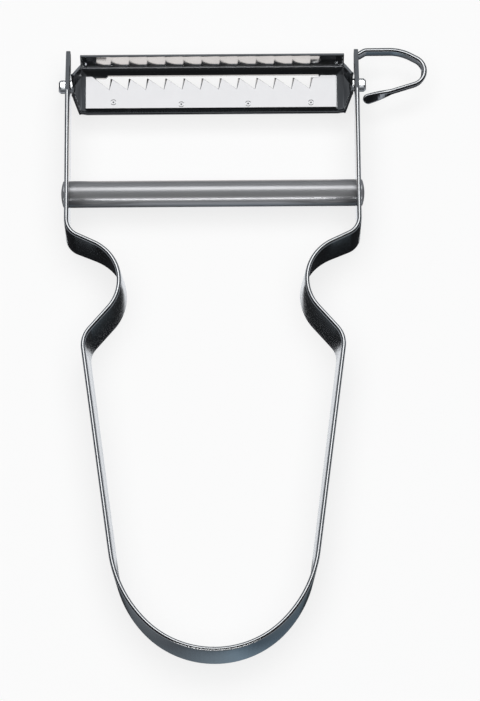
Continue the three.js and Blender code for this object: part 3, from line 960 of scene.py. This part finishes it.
# %% [markdown]
# Steel finishes
#
# All the pieces are the same kind of steel, but each was worked in its own way: the strip is rolled
# and tumbled, the bar is drawn and satin, the blade is polished and the comb is ground to a satin
# face. Pictures of scratches would need every piece unwrapped, so one helper builds nodes instead:
# drawn-out noise for the lines that the tool left, which sets the roughness and a very shallow bump,
# and a soft cloud that shifts the colour.

# %% Node helpers
def with_nodes(block):
    """The nodes and links of a new material or world."""
    block.use_nodes = True
    return block.node_tree.nodes, block.node_tree.links


def spread(nodes, links, value, source, target=(0, 1)):
    """Carries a value from one range to another."""
    node = nodes.new("ShaderNodeMapRange")
    for name, limit in zip(("From Min", "From Max", "To Min", "To Max"), (*source, *target)):
        node.inputs[name].default_value = limit
    links.new(value, node.inputs["Value"])
    return node.outputs[0]


def noise(nodes, links, place, scale, detail):
    texture = nodes.new("ShaderNodeTexNoise")
    texture.inputs["Scale"].default_value = scale
    texture.inputs["Detail"].default_value = detail
    links.new(place, texture.inputs["Vector"])
    return texture.outputs["Fac"]


def split_place(nodes, links, coordinates):
    """The X, Y and Z outputs of one kind of texture coordinates."""
    split = nodes.new("ShaderNodeSeparateXYZ")
    links.new(nodes.new("ShaderNodeTexCoord").outputs[coordinates], split.inputs[0])
    return split.outputs


def strip_place(nodes, links):
    """A place on a bent strip: how far along the strip, and how high."""
    run = nodes.new("ShaderNodeAttribute")
    run.attribute_name = "run"
    join = nodes.new("ShaderNodeCombineXYZ")
    links.new(run.outputs["Fac"], join.inputs["X"])
    links.new(split_place(nodes, links, "Object")["Z"], join.inputs["Z"])
    return join.outputs[0]


print("node helpers:", [helper.__name__ for helper in (with_nodes, spread, noise, strip_place)])

# %% Steel helper
NOISE_RANGE = (0.3, 0.7)  # where nearly all values of a noise texture lie
LINE_DETAIL = 4
CLOUD_SCALE, CLOUD_DETAIL = 180, 3


def steel(name, colour, roughness, line_scale, line_depth, colour_shift=0.06, along_strip=False,
          metallic=1):
    """A metal with fine lines: line_scale is how many lines there are to the metre, along each axis."""
    material = bpy.data.materials.new(name)
    nodes, links = with_nodes(material)
    shader = nodes["Principled BSDF"]
    shader.inputs["Metallic"].default_value = metallic
    place = nodes.new("ShaderNodeTexCoord").outputs["Object"]
    stretch = nodes.new("ShaderNodeMapping")
    stretch.vector_type = "POINT"
    stretch.inputs["Scale"].default_value = line_scale
    links.new(strip_place(nodes, links) if along_strip else place, stretch.inputs["Vector"])
    lines = noise(nodes, links, stretch.outputs[0], 1, LINE_DETAIL)
    cloud = noise(nodes, links, place, CLOUD_SCALE, CLOUD_DETAIL)
    paint = nodes.new("ShaderNodeVectorMath")
    paint.operation = "SCALE"
    paint.inputs[0].default_value = colour
    tint = spread(nodes, links, cloud, NOISE_RANGE, (1 - colour_shift, 1 + colour_shift))
    links.new(tint, paint.inputs["Scale"])
    links.new(paint.outputs[0], shader.inputs["Base Color"])
    links.new(spread(nodes, links, lines, NOISE_RANGE, roughness), shader.inputs["Roughness"])
    relief = nodes.new("ShaderNodeBump")
    relief.inputs["Strength"].default_value = 1
    relief.inputs["Distance"].default_value = line_depth
    links.new(lines, relief.inputs["Height"])
    links.new(relief.outputs[0], shader.inputs["Normal"])
    print(name, "colour", [round(value, 2) for value in colour], "roughness", roughness)
    return material


# %% Finishes for each piece
FLAT = 0.99  # how far up or down a face of the comb's ground top and underside looks
strip_finish = steel("tumbled strip steel", colour=(0.62, 0.635, 0.65), roughness=(0.17, 0.23),
                     line_scale=(300, 9000, 9000), line_depth=0.001 * MM, along_strip=True)
bar_finish = steel("satin bar steel", colour=(0.54, 0.545, 0.56), roughness=(0.28, 0.32),
                   line_scale=(250, 9000, 9000), line_depth=0.001 * MM, colour_shift=0.02,
                   metallic=0.75)
blade_finish = steel("polished blade steel", colour=(0.74, 0.75, 0.76), roughness=(0.09, 0.15),
                     line_scale=(200, 8000, 8000), line_depth=0.0005 * MM)
comb_finish = steel("satin comb steel", colour=(0.57, 0.57, 0.58), roughness=(0.29, 0.31),
                    line_scale=(6000, 600, 6000), line_depth=0.00004 * MM, colour_shift=0.01)
for finish, pieces in [
    (strip_finish, [handle, loop]),
    (bar_finish, [crossbar, *rivets]),
    (blade_finish, [blade]),
    (comb_finish, [comb]),
]:
    for piece in pieces:
        piece.data.materials.clear()
        piece.data.materials.append(finish)
comb.data.materials.append(blade_finish)
for face in comb.data.polygons:
    face.material_index = 0 if abs(face.normal.z) > FLAT else 1

# %% [markdown]
# Floor
#
# Steel shows its surroundings more than itself, so the peeler is lit as on a glass table with cards
# below the glass. The pale floor is the table that the camera sees: it takes the shadow, and a glow
# makes it nearly white without more light on the steel. It is left out of the reflections and casts
# no shadow, so that the steel sees the cards below it.

# %% Floor
FLOOR_HALF = 5
FLOOR_COLOUR = (0.22, 0.22, 0.22, 1)
FLOOR_ROUGHNESS = 0.9
FLOOR_GLOW = 0.78


def stage_plane(name, low, high, z):
    """A flat rectangle for the stage, between two corners in metres."""
    bm = bmesh.new()
    bmesh.ops.create_grid(bm, x_segments=1, y_segments=1, size=0.5)
    bmesh.ops.scale(bm, verts=bm.verts, vec=(high[0] - low[0], high[1] - low[1], 1))
    bmesh.ops.translate(bm, verts=bm.verts, vec=((low[0] + high[0]) / 2, (low[1] + high[1]) / 2, z))
    mesh = bpy.data.meshes.new(name)
    bm.to_mesh(mesh)
    bm.free()
    plane = bpy.data.objects.new(name, mesh)
    bpy.context.scene.collection.objects.link(plane)
    return plane


def combine(nodes, links, operation, first, second):
    """A Math node; its second value is a socket or a plain number."""
    node = nodes.new("ShaderNodeMath")
    node.operation = operation
    links.new(first, node.inputs[0])
    if isinstance(second, bpy.types.NodeSocket):
        links.new(second, node.inputs[1])
    else:
        node.inputs[1].default_value = second
    return node.outputs[0]


def pale_table():
    """Diffuse white that takes a shadow, with a glow for the rays that show it as the background."""
    material = bpy.data.materials.new("pale table")
    nodes, links = with_nodes(material)
    shader = nodes["Principled BSDF"]
    shader.inputs["Base Color"].default_value = FLOOR_COLOUR
    shader.inputs["Roughness"].default_value = FLOOR_ROUGHNESS
    shader.inputs["Specular IOR Level"].default_value = 0
    shader.inputs["Emission Color"].default_value = (1, 1, 1, 1)
    rays = nodes.new("ShaderNodeLightPath").outputs
    seen = combine(nodes, links, "MAXIMUM", rays["Is Camera Ray"], rays["Is Glossy Ray"])
    shown = combine(nodes, links, "MAXIMUM", seen, rays["Is Transmission Ray"])
    glow = combine(nodes, links, "MULTIPLY", shown, FLOOR_GLOW)
    links.new(glow, shader.inputs["Emission Strength"])
    return material


floor = stage_plane("floor", (-FLOOR_HALF, -FLOOR_HALF), (FLOOR_HALF, FLOOR_HALF), 0)
floor.data.materials.append(pale_table())
floor.visible_glossy = False
floor.visible_shadow = False
print("floor glow:", FLOOR_GLOW)

# %% [markdown]
# Cards below the glass
#
# A photographer would slide cards below a glass table until every face of the steel has something to
# mirror. A white card with two wings below the back lights the legs' inner faces and the arms, a
# bluish one below the front tones the crown, and a small warm one close below the slot shows white
# between the teeth. They are flat emitters, plain or with a colour that changes from left to right.

# %% Places and colours of the cards
WHITE = (0.98, 1.0, 1.03)
WARM_WHITE = (0.88, 0.83, 0.8)
BLUE_STEPS = [
    # place across the card in metres, and the colour there
    (-0.06, (0.15, 0.165, 0.18)),
    (-0.034, (0.085, 0.096, 0.108)),
    (0.0, (0.19, 0.238, 0.28)),
    (0.016, (0.2, 0.27, 0.33)),
    (0.036, (0.07, 0.1, 0.13)),
    (0.06, (0.12, 0.15, 0.17)),
]
CARDS = [
    # name, two corners and height in metres, and one colour or steps of colour
    ("slot card", (-0.0275, 0.1055), (0.0275, 0.122), -0.004, WARM_WHITE),
    ("white card", (-0.04, 0.085), (0.04, 0.215), -0.2, WHITE),
    ("left white wing", (-0.075, 0.152), (-0.04, 0.215), -0.2, WHITE),
    ("right white wing", (0.04, 0.152), (0.075, 0.215), -0.2, WHITE),
    ("blue card", (-0.08, -0.045), (0.08, 0.03), -0.1, BLUE_STEPS),
    ("left blue wing", (-0.08, 0.03), (-0.0455, 0.045), -0.1, BLUE_STEPS),
    ("right blue wing", (0.0455, 0.03), (0.08, 0.045), -0.1, BLUE_STEPS),
]
print("cards:", [name for name, *_ in CARDS])


# %% Cards
def shades(nodes, links, value, steps):
    """A colour ramp through steps of (value, colour)."""
    low, high = steps[0][0], steps[-1][0]
    ramp = nodes.new("ShaderNodeValToRGB")
    stops = ramp.color_ramp.elements
    while len(stops) < len(steps):
        stops.new(0.5)
    for stop, (place, colour) in zip(stops, steps):
        stop.position = (place - low) / (high - low)
        stop.color = (*colour, 1)
    links.new(spread(nodes, links, value, (low, high)), ramp.inputs["Fac"])
    return ramp.outputs["Color"]


def card(name, low, high, z, colour):
    """A glowing card of one colour, or one whose colour goes through steps from left to right."""
    plane = stage_plane(name, low, high, z)
    material = bpy.data.materials.new(name)
    nodes, links = with_nodes(material)
    nodes.remove(nodes["Principled BSDF"])
    glow = nodes.new("ShaderNodeEmission")
    links.new(glow.outputs[0], nodes["Material Output"].inputs["Surface"])
    if isinstance(colour, list):
        across = split_place(nodes, links, "Object")["X"]
        links.new(shades(nodes, links, across, colour), glow.inputs["Color"])
    else:
        glow.inputs["Color"].default_value = (*colour, 1)
    plane.data.materials.append(material)


for details in CARDS:
    card(*details)
print("cards made:", len(CARDS))

# %% [markdown]
# Lights
#
# A large soft light above and behind the peeler gives the bar and the comb their sheen, a thin one low
# in front draws the fine line along the bar, and a wide one overhead lights the floor but stays out of
# the reflections. The polished blade would mirror the first two as stray lines, so light linking
# keeps them off it, as a photographer would with a black flag.

# %% Lights
MIDDLE = Vector((0, 0.065, 0.005))
LIGHT_DISTANCE = 2.2


def soft_light(name, elevation, azimuth, width, height, radiance):
    """A rectangular light aimed at the peeler, by angles in degrees; azimuth 0 is behind it."""
    data = bpy.data.lights.new(name, "AREA")
    data.shape = "RECTANGLE"
    data.size, data.size_y = width, height
    data.energy = radiance * math.pi * width * height
    lamp = bpy.data.objects.new(name, data)
    rise, turn = math.radians(elevation), math.radians(azimuth)
    towards = Vector((math.cos(rise) * math.sin(turn), math.cos(rise) * math.cos(turn), math.sin(rise)))
    lamp.location = MIDDLE + towards * LIGHT_DISTANCE
    lamp.rotation_euler = towards.to_track_quat("Z", "Y").to_euler()
    bpy.context.scene.collection.objects.link(lamp)
    print(name, "watts:", round(data.energy, 1))
    return lamp


def light_only(lamp, pieces):
    """Keeps a light off everything but these pieces."""
    group = bpy.data.collections.new("lit by the " + lamp.name)
    for piece in pieces:
        group.objects.link(piece)
    lamp.light_linking.receiver_collection = group


top_light = soft_light("top light", elevation=64, azimuth=0, width=1.6, height=1.1, radiance=1.75)
light_only(top_light, [handle, crossbar, *rivets, loop, comb, floor])
front_strip = soft_light("front strip", elevation=22, azimuth=180, width=2.4, height=0.2, radiance=7.0)
light_only(front_strip, [handle, crossbar, *rivets])
overhead = soft_light("overhead", elevation=90, azimuth=0, width=3.0, height=3.0, radiance=1.68)
overhead.visible_glossy = False

# %% [markdown]
# Dim room
#
# Beyond the cards the steel mirrors a dim room, a little bluish and brighter towards the back. From
# the side the strip would mirror only darkness, so a grey table top is added below the horizon. A
# Light Path node shows it in the first reflection only: otherwise it would brighten the dark gaps
# that are reflections of reflections.

# %% Tones of the room
ROOM_TINT = (0.95, 1, 1.08)
ROOM_TONES = [
    # height of the direction, from -1 straight down to 1 straight up, and the room's brightness there
    (-1.0, 0.012),
    (-0.86, 0.012),
    (-0.72, 0.05),
    (-0.1, 0.06),
    (0.0, 0.1),
    (0.15, 0.1),
    (0.4, 0.1),
    (0.6, 0.06),
    (1.0, 0.08),
]
TABLE_TONES = [
    # the same for the table top
    (-0.8, 0.0),
    (-0.6, 0.36),
    (-0.3, 0.45),
    (-0.2, 0.25),
    (-0.12, 0.0),
]
# how far towards the back a direction looks, and the strength at these two limits
ROOM_SPAN, ROOM_STRENGTH = (-0.3, 0.9), (0.16, 2.0)
TABLE_SPAN, TABLE_STRENGTH = (0.4, 0.9), (1, 0.2)
FIRST_REFLECTION = 2.5  # a ray that was mirrored once reaches the world with a depth of 2
print("room tones:", len(ROOM_TONES), "table tones:", len(TABLE_TONES))


# %% Dim room
def tinted(tones):
    return [(height, [tone * share for share in ROOM_TINT]) for height, tone in tones]


def dim_room():
    world = bpy.data.worlds.new("dim room")
    nodes, links = with_nodes(world)
    look = split_place(nodes, links, "Generated")
    room = nodes["Background"]
    links.new(shades(nodes, links, look["Z"], tinted(ROOM_TONES)), room.inputs["Color"])
    links.new(spread(nodes, links, look["Y"], ROOM_SPAN, ROOM_STRENGTH), room.inputs["Strength"])
    table = nodes.new("ShaderNodeBackground")
    links.new(shades(nodes, links, look["Z"], tinted(TABLE_TONES)), table.inputs["Color"])
    depth = nodes.new("ShaderNodeLightPath").outputs["Ray Depth"]
    first = combine(nodes, links, "LESS_THAN", depth, FIRST_REFLECTION)
    fade = spread(nodes, links, look["Y"], TABLE_SPAN, TABLE_STRENGTH)
    links.new(combine(nodes, links, "MULTIPLY", first, fade), table.inputs["Strength"])
    both = nodes.new("ShaderNodeAddShader")
    links.new(room.outputs[0], both.inputs[0])
    links.new(table.outputs[0], both.inputs[1])
    links.new(both.outputs[0], nodes["World Output"].inputs["Surface"])
    print("world nodes:", len(nodes))
    return world


bpy.context.scene.world = dim_room()

# %% [markdown]
# Camera
#
# The peeler is seen from 70 degrees above the table, from the crown's side, and a little turned. A
# long distance keeps the arms nearly parallel. The focal length follows from the size of a pixel at
# the object, so the scale of the picture can be read off one number.

# %% Camera
FRAME_HEIGHT = 701  # pixels
SENSOR = 36  # mm
DISTANCE = 850 * MM
ELEVATION = math.radians(70)
ROLL = math.radians(0.4)
AIM = Vector((5.35, 63.3, 5.5)) * MM
PIXEL = 0.2024 * MM

back = Vector((0, -math.cos(ELEVATION), math.sin(ELEVATION)))
right = Vector((1, 0, 0))
up = back.cross(right)
rolled_right = right * math.cos(ROLL) - up * math.sin(ROLL)
rolled_up = up * math.cos(ROLL) + right * math.sin(ROLL)
camera_data = bpy.data.cameras.new("camera")
camera_data.sensor_fit = "AUTO"
camera_data.sensor_width = SENSOR
camera_data.lens = SENSOR * DISTANCE / PIXEL / FRAME_HEIGHT
camera = bpy.data.objects.new("camera", camera_data)
axes = Matrix((rolled_right, rolled_up, back)).transposed()
camera.matrix_world = Matrix.LocRotScale(AIM + back * DISTANCE, axes.to_quaternion(), None)
bpy.context.scene.collection.objects.link(camera)
bpy.context.scene.camera = camera
bpy.context.scene.view_settings.view_transform = "Standard"
print("focal length, mm:", round(camera_data.lens, 1))
